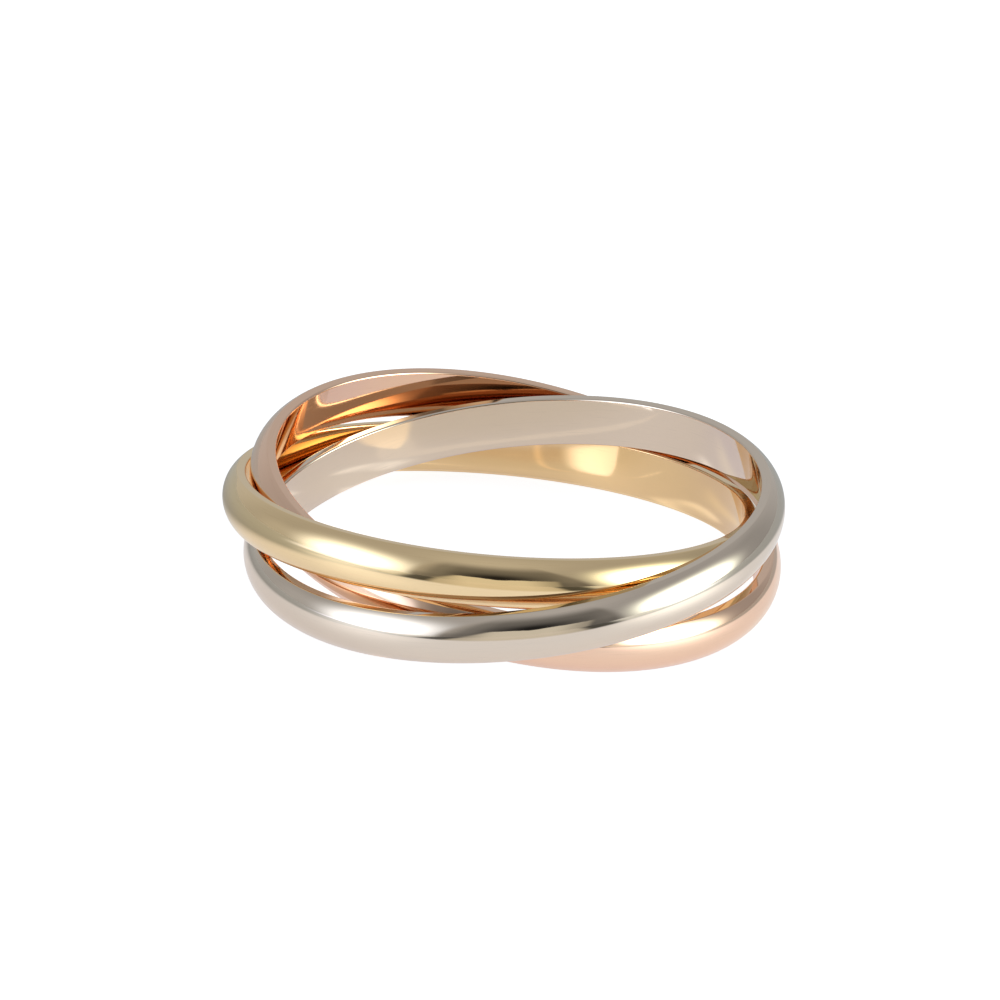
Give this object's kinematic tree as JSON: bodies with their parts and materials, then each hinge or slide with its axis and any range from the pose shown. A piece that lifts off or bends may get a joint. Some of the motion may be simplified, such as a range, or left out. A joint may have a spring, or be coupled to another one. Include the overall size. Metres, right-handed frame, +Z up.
{
  "type": "rolling ring",
  "caption": "Finger ring of slim interlocked D-section bands in yellow, white and rose gold, lying loose on a surface.",
  "frame": {"origin": "on the surface that the ring lies on, under the middle of its whole extent", "axes": "+Z up from the surface, +X to the right and +Y away from someone who looks at its front"},
  "size_m": [0.0202, 0.0208, 0.0052],
  "materials": {
    "yellow_gold": "mirror polished",
    "white_gold": "mirror polished",
    "rose_gold": "mirror polished"
  },
  "bodies": {
    "yellow_band": {"yellow_band": "yellow_gold"},
    "white_band": {"white_band": "white_gold"},
    "rose_band": {"rose_band": "rose_gold"}
  },
  "joints": [
    {"name": "white_turn", "type": "hinge", "parent": "yellow_band", "child": "white_band", "pos_m": [0.00043, -0.00063, 0.00249], "axis": [-0.1712, 0.012, 0.9852], "continuous": true},
    {"name": "rose_turn", "type": "hinge", "parent": "yellow_band", "child": "rose_band", "pos_m": [0.00045, 0.00063, 0.00225], "axis": [0.1438, -0.0267, 0.9892], "continuous": true}
  ]
}
